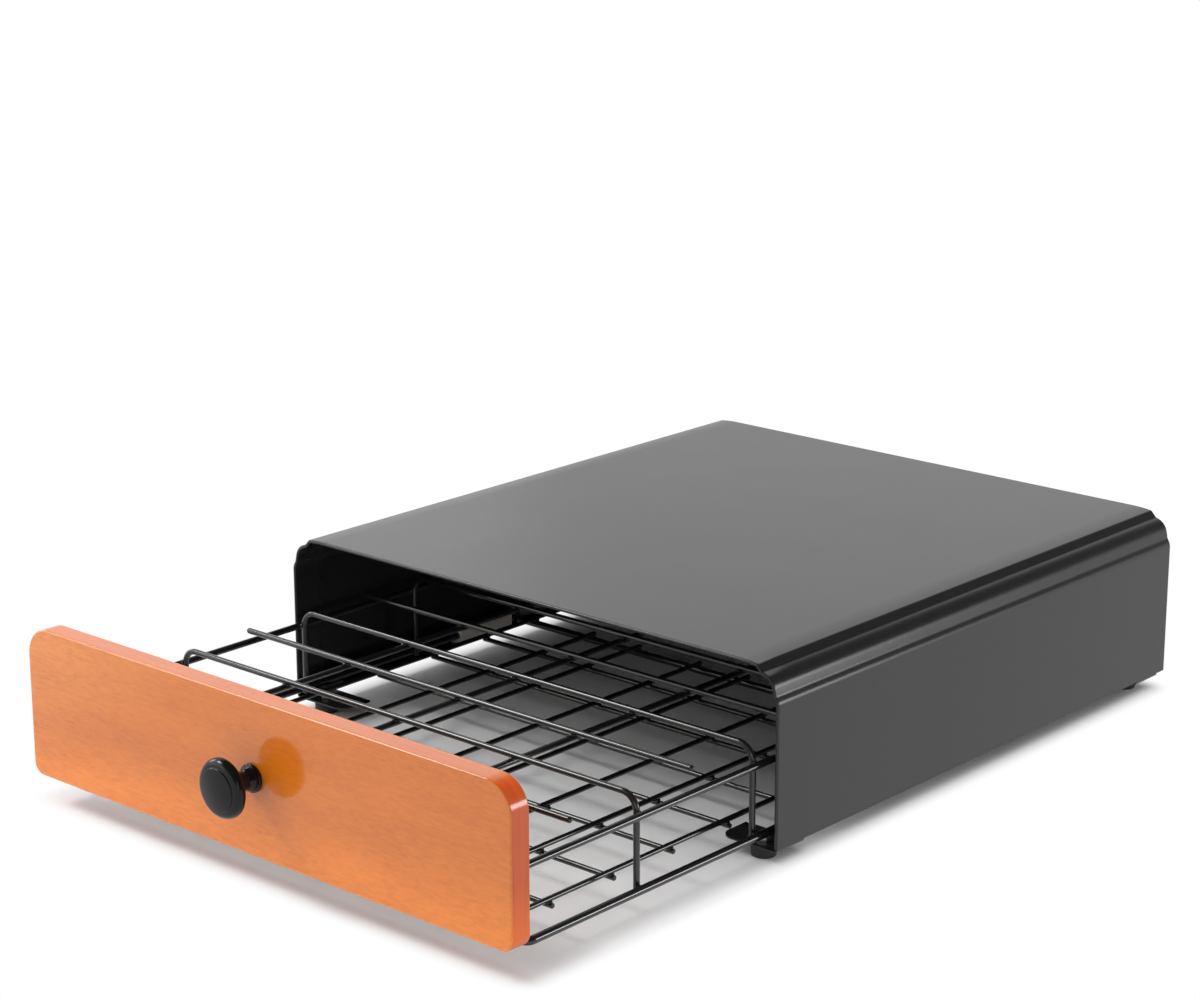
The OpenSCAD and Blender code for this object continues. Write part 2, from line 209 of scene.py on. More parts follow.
def outwards():
    """Merges doubles and turns all faces of the piece being edited outwards."""
    bpy.ops.mesh.select_mode(type="FACE")
    bpy.ops.mesh.select_all(action="SELECT")
    bpy.ops.mesh.remove_doubles(threshold=0.005 * MM)
    bpy.ops.mesh.normals_make_consistent(inside=False)


def close_ends():
    """Caps every open loop of the piece being edited."""
    pick("EDGE", lambda edge: edge.is_boundary)
    bpy.ops.mesh.edge_face_add()


def modify(piece, kind, **settings):
    """Adds a modifier with its settings, applies it and gives the piece back."""
    bpy.ops.object.mode_set(mode="OBJECT")
    take(piece)
    modifier = piece.modifiers.new(kind.title(), kind)
    for name, value in settings.items():
        setattr(modifier, name, value)
    bpy.ops.object.modifier_apply(modifier=modifier.name)
    return piece


def soften(piece, width, sharper_than=40):
    """Rounds every edge that is sharper than an angle in degrees."""
    modify(
        piece, "BEVEL", width=width, segments=2, limit_method="ANGLE",
        angle_limit=math.radians(sharper_than), use_clamp_overlap=True,
    )


def thicken(piece, thickness):
    """Gives a sheet its thickness, towards its inside."""
    modify(piece, "SOLIDIFY", thickness=thickness, offset=-1, use_even_offset=True)


def add_left_half(piece):
    """Mirrors the right half of a piece and opens the whole for editing."""
    modify(piece, "MIRROR", use_axis=(True, False, False), merge_threshold=0.01 * MM)
    bpy.ops.object.mode_set(mode="EDIT")


def smooth(piece, angle=35):
    """Shades round faces smooth and keeps flat ones flat."""
    bpy.ops.object.mode_set(mode="OBJECT")
    take(piece)
    bpy.ops.object.shade_smooth_by_angle(angle=math.radians(angle))
    return modify(piece, "WEIGHTED_NORMAL", keep_sharp=True)


def cut(piece, tool):
    """Takes the tool's shape out of a piece."""
    bpy.ops.object.mode_set(mode="OBJECT")
    modify(piece, "BOOLEAN", operation="DIFFERENCE", solver="EXACT", object=tool)
    bpy.data.objects.remove(tool)


def join(pieces):
    """Makes one piece of several."""
    take(*pieces)
    bpy.ops.object.join()
    return pieces[0]


def copy_of(piece, change):
    """A copy of a piece with its own mesh, moved or mirrored by a matrix."""
    bpy.ops.object.mode_set(mode="OBJECT")
    copy = piece.copy()
    copy.data = piece.data.copy()
    copy.data.transform(change)
    bpy.context.scene.collection.objects.link(copy)
    return copy


def copy_at(piece, *steps):
    """Puts one piece made of copies, each moved by one step, in a piece's stead."""
    copies = [copy_of(piece, Matrix.Translation(step)) for step in steps]
    bpy.data.objects.remove(piece)
    return join(copies)


def mirrored(piece):
    """A copy of a piece on the other side of the drawer."""
    copy = copy_of(piece, Matrix.Scale(-1, 4, X))
    copy.data.flip_normals()
    return copy


def turned(place, axis, profile, sides=48, ring=False):
    """Turns a solid as on a lathe: the profile is a list of radius and height along the axis."""
    radius, height = profile[0]
    piece = add("circle", place + axis * height, facing=axis, vertices=sides, radius=radius)
    pick("EDGE", lambda edge: True)
    for next_radius, next_height in profile[1:] + (profile[:1] if ring else []):
        push(axis * (next_height - height))
        scale = next_radius / radius
        bpy.ops.transform.resize(value=(scale,) * 3, center_override=place + axis * next_height)
        radius, height = next_radius, next_height
    if not ring:
        close_ends()
    outwards()
    bpy.ops.object.mode_set(mode="OBJECT")
    return piece


def arc(middle, radius, start, end, steps=8):
    """Points of an arc between two angles in degrees."""
    angles = [math.radians(start + (end - start) * i / steps) for i in range(steps + 1)]
    return [(middle[0] + radius * math.cos(a), middle[1] + radius * math.sin(a)) for a in angles]


def bent_wire(start, heading, radius, moves, loop=False):
    """Bends a wire: straight lengths are given as numbers, and quarter bends as (side, bend radius)."""
    place = Vector(start)
    piece = add("circle", place, facing=heading, vertices=WIRE_SIDES, radius=radius)
    pick("EDGE", lambda edge: True)
    for move in moves:
        if isinstance(move, tuple):
            side, bend = move
            pivot = place + side * bend
            bpy.ops.mesh.spin(steps=8, angle=math.pi / 2, center=pivot, axis=side.cross(heading))
            place, heading = pivot + heading * bend, side
        else:
            push(heading * move)
            place += heading * move
    if not loop:
        close_ends()
    outwards()
    bpy.ops.object.mode_set(mode="OBJECT")
    return piece


def bent_strip(section, front, rear):
    """Bends a strip between two planes along a section, whose first stretch lies level."""
    (x0, level), x1 = section[0], section[1][0]
    place = ((x0 + x1) / 2, (front + rear) / 2, level)
    piece = add("plane", place, (abs(x1 - x0), rear - front, 1), size=1)
    pick("EDGE", lambda edge: lies_at(edge, "x", x1))
    push_along(section[1:])
    return piece


def slice_at(*planes):
    """Cuts new edges across the piece being edited, at planes along Y."""
    for y in planes:
        bpy.ops.mesh.select_mode(type="FACE")
        bpy.ops.mesh.select_all(action="SELECT")
        bpy.ops.mesh.bisect(plane_co=(0, y, 0), plane_no=Y)


# ---- Materials ----

class Value:
    """An output socket. Expressions on values add their Math nodes."""

    def __init__(self, finish, socket):
        self.finish = finish
        self.socket = socket

    def math(self, operation, *inputs):
        """Adds a Math node."""
        return self.finish.node("Math", dict(enumerate(inputs)), operation=operation)

    def __add__(self, other):
        return self.math("ADD", self, other)

    def __sub__(self, other):
        return self.math("SUBTRACT", self, other)

    def __rsub__(self, other):
        return self.math("SUBTRACT", other, self)

    def __mul__(self, other):
        return self.math("MULTIPLY", self, other)

    def __abs__(self):
        return self.math("ABSOLUTE", self)

    __radd__ = __add__
    __rmul__ = __mul__

    def clamped(self):
        """The value, held between 0 and 1."""
        held = self * 1
        held.socket.node.use_clamp = True
        return held


class Finish:
    """The node tree of a material or of the world."""

    def __init__(self, owner):
        owner.use_nodes = True
        self.owner = owner
        self.tree = owner.node_tree
        self.tree.nodes.clear()

    def node(self, kind, inputs=None, output=0, **settings):
        """Adds a node: its settings first, then the values or links of its sockets. Gives one output."""
        node = self.tree.nodes.new("ShaderNode" + kind)
        for name, setting in settings.items():
            setattr(node, name, setting)
        for name, value in (inputs or {}).items():
            if isinstance(value, Value):
                self.tree.links.new(value.socket, node.inputs[name])
            else:
                node.inputs[name].default_value = value
        return Value(self, node.outputs[output]) if len(node.outputs) else node

    def part(self, vector, axis):
        """One part of a vector: X, Y or Z."""
        return self.node("SeparateXYZ", {0: vector}, output=axis)

    def vector(self, operation, *inputs):
        """Adds a Vector Math node."""
        return self.node("VectorMath", dict(enumerate(inputs)), operation=operation)

    def rays(self, *kinds):
        """1 for rays of these kinds, such as "Is Camera Ray", and 0 for all others."""
        first, *others = [self.node("LightPath", output=kind) for kind in kinds]
        return sum(others, first).clamped()

    def points(self, scale=(1, 1, 1)):
        """Places on the object, in metres, stretched by a scale."""
        place = self.node("TexCoord", output="Object")
        return self.node("Mapping", {"Vector": place, "Scale": scale})

    def noise(self, scale, detail=2, rough=0.5, stretch=(1, 1, 1)):
        """Noise with a number of spots to the metre."""
        inputs = {"Vector": self.points(stretch), "Scale": scale, "Detail": detail, "Roughness": rough}
        return self.node("TexNoise", inputs)

    def mix(self, factor, first, second):
        """Mixes two colours."""
        return self.node("Mix", {0: factor, 6: first, 7: second}, output=2, data_type="RGBA")

    def bump(self, height, distance, strength=1, normal=None):
        """Relief of a height, a distance deep, over another relief if there is one."""
        inputs = {"Height": height, "Distance": distance, "Strength": strength}
        if normal:
            inputs["Normal"] = normal
        return self.node("Bump", inputs)

    def surface(self, **sockets):
        """Ends a material in one main shader. Underscores stand for the spaces in socket names."""
        names = {name.replace("_", " "): value for name, value in sockets.items()}
        shader = self.node("BsdfPrincipled", names)
        self.node("OutputMaterial", {"Surface": shader})
        return self.owner


def new_finish(name):
    return Finish(bpy.data.materials.new(name))


def colour(red, green, blue):
    return (red, green, blue, 1)


def grey(level):
    return colour(level, level, level)


def powder_coat():
    """Semi-gloss black powder coat with a fine orange peel."""
    finish = new_finish("black_powder_coat")
    peel = finish.noise(900, detail=2)
    waves = finish.noise(28, detail=1)
    dust = finish.noise(240, detail=4, rough=0.7)
    relief = finish.bump(peel, 0.012 * MM, normal=finish.bump(waves, 0.06 * MM))
    return finish.surface(
        Base_Color=finish.mix(dust, colour(0.007, 0.007, 0.0073), colour(0.014, 0.014, 0.0145)),
        Roughness=0.22 + dust * 0.05 + waves * 0.03,
        Normal=relief,
    )


def wire_coat():
    """Glossy black coat on the basket's wires."""
    finish = new_finish("black_wire_coat")
    runs = finish.noise(160, detail=2)
    specks = finish.noise(1400, detail=2)
    return finish.surface(
        Base_Color=finish.mix(runs, grey(0.006), grey(0.010)),
        Roughness=0.13 + specks * 0.05,
        IOR=1.6,
        Normal=finish.bump(runs + specks * 0.3, 0.003 * MM),
    )


def lacquered_wood():
    """Orange cherry stain under clear gloss lacquer: flecks along the face, streaks round the rim.

    Painted light makes the face brighter near its lower edge and paler towards its top left corner,
    and makes the end grain lighter near its lower edge. Round the rim the stain is lightest along the
    top, redder on the round corners and darkest on the end grain.
    """
    finish = new_finish("lacquered_cherry_stain")
    clouds = finish.noise(16, detail=3, stretch=(0.45, 1, 1.3))
    bands = finish.noise(60, detail=4, rough=0.6, stretch=(0.25, 1, 1))
    flecks = finish.noise(620, detail=3, rough=0.65, stretch=(0.2, 0.5, 1))
    flow = flecks * 0.55 + bands * 0.45
    pore_cells = {"Vector": finish.points((150, 300, 1000)), "Scale": 1}
    pores = finish.node("TexVoronoi", pore_cells, output="Distance")
    streaks = finish.noise(480, detail=3, rough=0.6, stretch=(0.05, 1, 0.05))

    normal = finish.node("TexCoord", output="Normal")
    facing = abs(finish.part(normal, "Y"))
    sideways = abs(finish.part(normal, "X"))
    rim = (1 - facing * 1.6).clamped()
    round_corner = (sideways * 4 - 1).clamped()
    end = (sideways * 2 - 1).clamped()
    place = finish.node("TexCoord", output="Object")
    along, height = finish.part(place, "X"), finish.part(place, "Z")
    # Painted light from below: a mask that grows towards the lower edge of the board.
    low_light_edge, low_light_fade = BOARD_LOW + 30 * MM, 22 * MM
    painted_low_light = ((low_light_edge - height) * (1 / low_light_fade)).clamped()
    # Painted light from the left: a mask that grows towards the board's top left corner.
    corner_light_edge, corner_light_fade = 100 * MM, 65 * MM
    painted_corner_light = ((height - along * 0.5 - corner_light_edge) * (1 / corner_light_fade)).clamped()
    dark = ((flow - 0.5) * 3.4 + 0.32).clamped()
    dots = (1 - pores * 2.8).clamped() * dark

    face = finish.mix(clouds, colour(0.605, 0.138, 0.004), colour(0.70, 0.192, 0.009))
    # Painted light: the face is lighter along its lower edge.
    face = finish.mix(painted_low_light * 0.7, face, colour(0.90, 0.245, 0.010))
    # Painted light: the face is paler towards its top left corner.
    face = finish.mix(painted_corner_light * 0.9, face, colour(0.80, 0.275, 0.055))
    face = finish.mix(dark * 0.6, face, colour(0.46, 0.098, 0.003))
    face = finish.mix(dots * 0.6, face, colour(0.32, 0.055, 0.003))
    top_grain = finish.mix(streaks, colour(0.80, 0.200, 0.014), colour(0.56, 0.095, 0.006))
    corner_grain = finish.mix(streaks, colour(0.84, 0.115, 0.004), colour(0.58, 0.052, 0.002))
    end_grain = finish.mix(streaks, colour(0.62, 0.095, 0.005), colour(0.40, 0.045, 0.003))
    side = finish.mix(end, finish.mix(round_corner, top_grain, corner_grain), end_grain)
    # Painted light: the end grain is lighter near its lower edge.
    side = finish.mix(painted_low_light * end * 0.6, side, colour(0.84, 0.150, 0.006))
    return finish.surface(
        Base_Color=finish.mix(rim, face, side),
        Roughness=0.34 + flow * 0.1,
        Normal=finish.bump(flecks, 0.01 * MM, strength=0.6),
        Specular_IOR_Level=0.2,
        Coat_Weight=1 - rim * 0.4,
        Coat_Roughness=0.11,
        Coat_IOR=1.52,
    )


def knob_paint():
    """Satin black paint on the turned knob."""
    finish = new_finish("satin_black_paint")
    peel = finish.noise(700, detail=2)
    return finish.surface(
        Base_Color=finish.mix(peel, grey(0.003), grey(0.006)),
        Roughness=0.14 + peel * 0.05,
        IOR=1.33,
        Normal=finish.bump(peel, 0.008 * MM),
    )


def rubber():
    """Matt black rubber with a faint bloom."""
    finish = new_finish("black_rubber")
    bloom = finish.noise(320, detail=4, rough=0.7)
    return finish.surface(
        Base_Color=finish.mix(bloom, grey(0.012), colour(0.030, 0.030, 0.029)),
        Roughness=0.62 + bloom * 0.2,
        Normal=finish.bump(bloom, 0.05 * MM),
    )


def moulded_plastic(name, low, high):
    """Moulded plastic between two tones, with a fine spark-eroded grain."""
    finish = new_finish(name)
    grain = finish.noise(1100, detail=2)
    tone = finish.noise(70, detail=2)
    return finish.surface(
        Base_Color=finish.mix(tone, low, high),
        Roughness=0.42 + grain * 0.16,
        Normal=finish.bump(grain, 0.02 * MM),
    )


def zinc_plate():
    """Bright zinc plating, with its faint cloudiness and fine drawn scratches."""
    finish = new_finish("zinc_plate")
    clouds = finish.noise(260, detail=3)
    lines = finish.noise(1500, detail=2, stretch=(1, 0.08, 1))
    return finish.surface(
        Base_Color=finish.mix(clouds, colour(0.50, 0.50, 0.51), colour(0.64, 0.64, 0.66)),
        Metallic=1.0,
        Roughness=0.22 + lines * 0.16,
        Normal=finish.bump(lines, 0.01 * MM),
    )


POWDER = powder_coat()
WIRE = wire_coat()
WOOD = lacquered_wood()
PAINT = knob_paint()
RUBBER = rubber()
BLACK_PLASTIC = moulded_plastic("black_plastic", colour(0.014, 0.014, 0.015), colour(0.026, 0.026, 0.027))
WHITE_PLASTIC = moulded_plastic("white_plastic", colour(0.72, 0.70, 0.64), colour(0.80, 0.78, 0.72))
ZINC = zinc_plate()


def dress(piece, name, body, slot, material, *nodes):
    """Names a finished piece, gives it its finish, and puts it in the place of its CAD nodes."""
    piece.name = name
    piece.data.name = name
    piece.data.materials.clear()
    piece.data.materials.append(material)
    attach(piece, body)
    if nodes:
        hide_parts(*nodes)


# ---- Housing ----

def bent_line(moves):
    """Points of a line that starts level, from lengths and from arcs given as (radius, new angle)."""
    points = [(0, 0)]
    angle = 0
    for move in moves:
        x, z = points[-1]
        sine, cosine = math.sin(math.radians(angle)), math.cos(math.radians(angle))
        if isinstance(move, tuple):
            radius, new_angle = move
            side = 1 if new_angle > angle else -1
            middle = (x - side * radius * sine, z - side * radius * cosine)
            points += arc(middle, radius, side * 90 - angle, side * 90 - new_angle)[1:]
            angle = new_angle
        else:
            points.append((x + move * cosine, z - move * sine))
    return points


def housing_section(depth=0):
    """Right half of the housing's section, from the middle of the top down to the side's free edge."""
    bends = bent_line([
        (LEAD_R, LEAD_ANGLE), (STEP_R, STEP_ANGLE), STEP_L, (STEP_FOOT_R, SHOULDER_ANGLE),
        (CORNER_R, LEAN_ANGLE), LEAN_L, (FLARE_FOOT_R, FLARE_ANGLE), FLARE_L, (FLARE_R, 90),
    ])
    inwards = HALF_W - bends[-1][0]
    section = [(0, TOP), *[(x + inwards, z + TOP) for x, z in bends], (HALF_W, SIDE_CLEAR)]
    return moved_in(section, depth)


def moved_in(section, depth):
    """A section moved towards the housing's inside, square to its run."""
    points = [Vector(point) for point in section]
    befores = points[:1] + points[:-1]
    afters = points[1:] + points[-1:]
    runs = [(after - before).normalized() for before, after in zip(befores, afters)]
    return [(point.x + run.y * depth, point.y - run.x * depth) for point, run in zip(points, runs)]


def bend_in_tabs(*starts):
    """Bends foot tabs in from the lower edge of the side being edited, with round corners."""

    def on_tab(edge):
        y = (edge.verts[0].co.y + edge.verts[1].co.y) / 2
        return lies_at(edge, "z", SIDE_CLEAR) and any(start < y < start + TAB_L for start in starts)

    pick("EDGE", on_tab)
    push_along(arc((HALF_W - BEND_R, SIDE_CLEAR), BEND_R, 0, -90))
    push((BEND_R - TAB_W, 0, 0))
    pick("VERT", lambda vertex: near(vertex.co.x, HALF_W - TAB_W) and near(vertex.co.z, TAB_Z))
    bpy.ops.mesh.bevel(offset=TAB_R, segments=8, affect="VERTICES")


def fold_hem():
    """Doubles the sheet being edited inside its front, with a thin lip at the hem's end."""
    core = Vector((0, 0, TOP / 2))

    def inside(face, start):
        spot = face.calc_center_median()
        out = Vector((spot.x, 0, spot.z)) - core
        on_hem = start < spot.y < FRONT + HEM and spot.z > SIDE_CLEAR
        return on_hem and not faces_y(face) and face.normal.dot(out) < 0

    for start, thickness in ((FRONT, SHEET), (FRONT + HEM - HEM_LIP, HEM_LIP_T)):
        pick("FACE", lambda face: inside(face, start))
        step = {"value": thickness, "use_even_offset": True}
        bpy.ops.mesh.extrude_region_shrink_fatten(TRANSFORM_OT_shrink_fatten=step)

    def on_rim(edge):
        """Whether an edge parts the front rim from the sheet's inside or outside."""
        sides = sorted(faces_y(face) for face in edge.link_faces)
        return lies_at(edge, "y", FRONT) and sides == [False, True]

    pick("EDGE", on_rim)
    bpy.ops.mesh.bevel(offset=FOLD_ROUND, segments=5, affect="EDGES", clamp_overlap=False)


def housing_sheet():
    """One sheet bent over the top and down both sides, hemmed at the front, with four foot tabs."""
    front_tab = FRONT + FRONT_INSET
    rear_tab = REAR - BACK_INSET - TAB_L
    piece = bent_strip(housing_section(), FRONT, REAR)
    slice_at(front_tab, front_tab + TAB_L, rear_tab, rear_tab + TAB_L)
    slice_at(FRONT + HEM - HEM_LIP, FRONT + HEM)
    bend_in_tabs(front_tab, rear_tab)
    add_left_half(piece)
    outwards()
    thicken(piece, SHEET)
    bpy.ops.object.mode_set(mode="EDIT")
    fold_hem()
    soften(piece, SHEET_ARRIS)
    smooth(piece)
    dress(piece, "bent_housing_sheet", "housing", "black_sheet", POWDER, "housing_shell")


def back_panel():
    """Pressed pan that closes the rear, with its flange along the housing's inside."""
    low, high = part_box("rear_panel")
    piece = bent_strip(housing_section(depth=SHEET + FIT), low.y, high.y)
    add_left_half(piece)
    pick("EDGE", lambda edge: edge.is_boundary and lies_at(edge, "y", high.y))
    bpy.ops.mesh.edge_face_add()
    outwards()
    pick("EDGE", lambda edge: not edge.is_boundary and lies_at(edge, "y", high.y))
    bpy.ops.mesh.bevel(offset=PAN_FOLD, segments=3, affect="EDGES")
    thicken(piece, SHEET)
    soften(piece, STRIP_ARRIS)
    smooth(piece)
    dress(piece, "pressed_back_panel", "housing", "black_sheet", POWDER, "rear_panel")


def bumpers():
    """Two round rubber bumpers on the back panel, which the basket closes against."""
    low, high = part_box("rear_bumpers")
    radius = (high.z - low.z) / 2
    thick = high.y - low.y
    rim_r = 0.7 * MM
    place = Vector((0, high.y, (low.z + high.z) / 2))
    rim = arc((radius - rim_r, thick - rim_r), rim_r, 0, 70, 4)
    piece = turned(place, -Y, [(radius, 0), *rim, (radius * 0.5, thick), (radius * 0.1, thick)])
    smooth(piece)
    offset = X * (high.x - radius)
    piece = copy_at(piece, offset, -offset)
    dress(piece, "rubber_bumpers", "housing", "rubber", RUBBER, "rear_bumpers")


def runners():
    """Channels bent from strip, open towards the basket."""
    low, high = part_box("runner_right")
    bend_x = high.x - RUNNER_BEND
    section = [
        (low.x, low.z),
        *arc((bend_x, low.z + RUNNER_BEND), RUNNER_BEND, -90, 0, 5),
        *arc((bend_x, high.z - RUNNER_BEND), RUNNER_BEND, 0, 90, 5),
        (low.x, high.z),
    ]
    piece = bent_strip(section, low.y, high.y)
    outwards()
    thicken(piece, RUNNER_T)
    soften(piece, STRIP_ARRIS)
    smooth(piece)
    other = mirrored(piece)
    dress(piece, "channel_right", "housing", "black_sheet", POWDER, "runner_right")
    dress(other, "channel_left", "housing", "black_sheet", POWDER, "runner_left")


# ---- Feet and fasteners ----

def cross_recess(place, axis, reach, depth, width):
    """The cutter for a screw head's cross recess, a little narrower at its bottom."""
    bottom_share = 0.62
    side = X if abs(axis.x) < 0.5 else Y
    bars = []
    for long_way in (side, axis.cross(side)):
        short_way = axis.cross(long_way)
        size = 2 * reach * long_way + width * short_way + 2 * depth * axis
        bars.append(add("cube", place, [abs(length) for length in size], size=1))
        pick("FACE", lambda face: face.normal.dot(axis) < -0.9)
        bpy.ops.transform.resize(value=(bottom_share,) * 3, center_override=place - axis * depth)
        bpy.ops.object.mode_set(mode="OBJECT")
    first, second = bars
    modify(first, "BOOLEAN", operation="UNION", solver="EXACT", object=second)
    bpy.data.objects.remove(second)
    return first


def screw_head(place, axis, radius, height):
    """Domed head with a cross recess, standing on a place along an axis."""
    soft = 0.15 * MM
    dome_r = height * 0.55
    dome = arc((radius - dome_r, height - dome_r), dome_r, 0, 78, 6)
    profile = [(radius - soft, 0), (radius, soft), *dome, (radius * 0.18, height)]
    piece = turned(place, axis, profile, sides=36)
    reach, depth, width = radius * 0.56, height * 0.6, radius * 0.26
    cut(piece, cross_recess(place + axis * height, axis, reach, depth, width))
    return smooth(piece, 30)


def feet():
    """Rubber discs, slightly narrower at the floor, each with a recess for its screw."""
    modelled = "foot_front_right"
    low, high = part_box(modelled)
    radius = (high.x - low.x) / 2
    height = high.z - low.z
    recess_r, recess_h, recess_soft = 3.1 * MM, 2.45 * MM, 0.2 * MM
    low_inset, low_round, top_inset, top_soft = 0.3 * MM, 0.6 * MM, 0.15 * MM, 0.4 * MM
    profile = [
        (recess_r, recess_h),
        (recess_r, recess_soft),
        (recess_r + recess_soft, 0),
        *arc((radius - low_inset - low_round, low_round), low_round, -90, -10, 5),
        (radius, height - top_soft),
        (radius - top_inset, height),
    ]
    original = smooth(turned(underside(modelled), Z, profile))
    for node in ("foot_front_right", "foot_front_left", "foot_rear_right", "foot_rear_left"):
        copy = copy_of(original, Matrix.Translation(centre(node) - centre(modelled)))
        dress(copy, "rubber_" + node, "housing", "rubber", RUBBER, node)
    bpy.data.objects.remove(original)


def foot_places():
    """Middle of each foot, on the floor."""
    return [underside(f"foot_{end}_{side}") for end in ("front", "rear") for side in ("left", "right")]


def foot_screws():
    """Screws up through the feet and the tabs, with their heads in the recesses of the feet."""
    low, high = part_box("foot_screws")
    head_r, head_h, shank_r = 2.8 * MM, 1.6 * MM, 1.5 * MM
    overlap, point = 0.3 * MM, 0.4 * MM
    base = Z * (low.z + head_h)
    tip = high.z - base.z
    head = screw_head(base, -Z, head_r, head_h)
    shank = turned(base, Z, [(shank_r, -overlap), (shank_r, tip - point), (shank_r - point, tip)], 24)
    smooth(shank)
    piece = copy_at(join([head, shank]), *foot_places())
    dress(piece, "foot_fixing_screws", "housing", "zinc", ZINC, "foot_screws")


def foot_nuts():
    """Hexagon nuts with chamfered corners round the screws' ends."""
    low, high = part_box("foot_nuts")
    height = high.z - low.z
    across_flats, bore_r, chamfer = 5.5 * MM, 1.52 * MM, 0.3 * MM
    corner_r = across_flats / 2 / math.cos(math.radians(30))
    profile = [
        (bore_r, chamfer), (bore_r + chamfer, 0), (corner_r, 0),
        (corner_r, height), (bore_r + chamfer, height), (bore_r, height - chamfer),
    ]
    piece = turned(Z * low.z, Z, profile, sides=6, ring=True)
    soften(piece, 0.25 * MM, sharper_than=70)
    smooth(piece, 30)
    piece = copy_at(piece, *foot_places())
    dress(piece, "foot_hexagon_nuts", "housing", "zinc", ZINC, "foot_nuts")


# ---- Front board and knob ----

def front_board():
    """Wooden front with round corners, crisp arrises and a counterbore in its back."""
    low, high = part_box("front_board")
    piece = block("front_board")
    for z, radius in ((high.z, BOARD_TOP_R), (low.z, BOARD_LOW_R)):
        pick("EDGE", lambda edge: along_y(edge) and lies_at(edge, "z", z))
        bpy.ops.mesh.bevel(offset=radius, segments=14, affect="EDGES")
    pick("EDGE", lambda edge: any(faces_y(face) for face in edge.link_faces))
    bpy.ops.mesh.bevel(offset=BOARD_ARRIS, segments=5, affect="EDGES")
    bpy.ops.object.mode_set(mode="OBJECT")

    washer_low, washer_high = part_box("knob_washer")
    play = 0.2 * MM
    bore_r = (washer_high.x - washer_low.x) / 2 + play
    bottom = Vector((0, high.y - COUNTERBORE_DEPTH, centre("knob_washer").z))
    cut(piece, turned(bottom, Y, [(bore_r, 0), (bore_r, 2 * COUNTERBORE_DEPTH)], 64))
    smooth(piece)
    dress(piece, "wooden_front", "drawer", "lacquered_wood", WOOD, "front_board")


def eased(start, end, steps):
    """Points from start to end on a soft step that leaves and arrives level."""
    run, rise = end[0] - start[0], end[1] - start[1]
    shares = [i / steps for i in range(steps + 1)]
    return [(start[0] + run * t, start[1] + rise * (1 - math.cos(math.pi * t)) / 2) for t in shares]


def knob():
    """Turned knob: flared foot, thin neck, and a head with a ring step round its domed face."""
    low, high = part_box("knob")
    head_r = (high.x - low.x) / 2
    out = FRONT_PLANE - low.y
    foot_r, foot_h, foot_round, neck_r = 6.75 * MM, 1.2 * MM, 0.7 * MM, 4.5 * MM
    neck = eased((2.1 * MM, foot_r - 0.9 * MM), (6 * MM, neck_r), 8)

    rim_h, rim_r, step_h, dome_h, edge_r = 3.7 * MM, 1.4 * MM, 0.8 * MM, 1.1 * MM, 0.4 * MM
    face_r, groove = 10.2 * MM, 0.25 * MM
    face_h = out - dome_h
    step_foot = face_h - step_h
    widest = step_foot - rim_h
    flare_r, flare_end, flare_h = head_r - rim_r - edge_r, widest - rim_r - edge_r, 4.5 * MM
    rim_foot = face_r + groove
    rim_w = head_r - rim_foot
    inner_r = face_r - edge_r
    dome_shares = (0.93, 0.84, 0.72, 0.58, 0.42, 0.26, 0.12, 0.03)
    profile = [
        (foot_r - 0.3 * MM, 0),
        (foot_r, 0.35 * MM),
        (foot_r, foot_h),
        *arc((foot_r - foot_round, foot_h), foot_round, 20, 80, 3),
        *[(radius, height) for height, radius in neck],
        *eased((neck_r, flare_end - flare_h), (flare_r, flare_end), 10),
        *arc((head_r - rim_r, widest), rim_r, -72, -12, 5),
        *[(rim_foot + rim_w * x, widest + rim_h * h) for x, h in arc((0, 0), 1, 0, 90, 16)],
        (face_r, step_foot + 0.2 * MM),
        *arc((inner_r, face_h - edge_r), edge_r, 0, 84, 4),
        *[(inner_r * t, out - dome_h * t * t) for t in dome_shares],
    ]
    piece = turned(Vector((0, FRONT_PLANE, centre("knob").z)), -Y, profile, sides=72)
    smooth(piece, 50)
    dress(piece, "turned_knob", "drawer", "black_knob", PAINT, "knob")


def knob_fixings():
    """The washer at the bottom of the counterbore, and the screw whose head lies on it."""
    washer_low, washer_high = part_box("knob_washer")
    screw_low, screw_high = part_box("knob_screw")
    axis = Z * centre("knob_washer").z
    washer_r = (washer_high.x - washer_low.x) / 2
    washer_t = washer_high.y - washer_low.y
    hole_r, soft = 2.1 * MM, 0.15 * MM
    profile = [
        (hole_r, soft), (hole_r + soft, 0), (washer_r - soft, 0), (washer_r, soft),
        (washer_r, washer_t - soft), (washer_r - soft, washer_t),
        (hole_r + soft, washer_t), (hole_r, washer_t - soft),
    ]
    washer = smooth(turned(axis + Y * washer_low.y, Y, profile, ring=True))
    dress(washer, "knob_fixing_washer", "drawer", "zinc", ZINC, "knob_washer")
    head_r = (screw_high.x - screw_low.x) / 2
    head = screw_head(axis + Y * washer_high.y, Y, head_r, screw_high.y - washer_high.y)
    dress(head, "knob_fixing_screw", "drawer", "zinc", ZINC, "knob_screw")


def fixing_plates():
    """Small steel plates behind the board, with round corners."""
    for side in ("left", "right"):
        node = f"mounting_plate_{side}"
        piece = block(node)
        pick("EDGE", along_y)
        bpy.ops.mesh.bevel(offset=3 * MM, segments=6, affect="EDGES")
        soften(piece, 0.25 * MM)
        smooth(piece)
        dress(piece, f"fixing_plate_{side}", "drawer", "black_wire", WIRE, node)


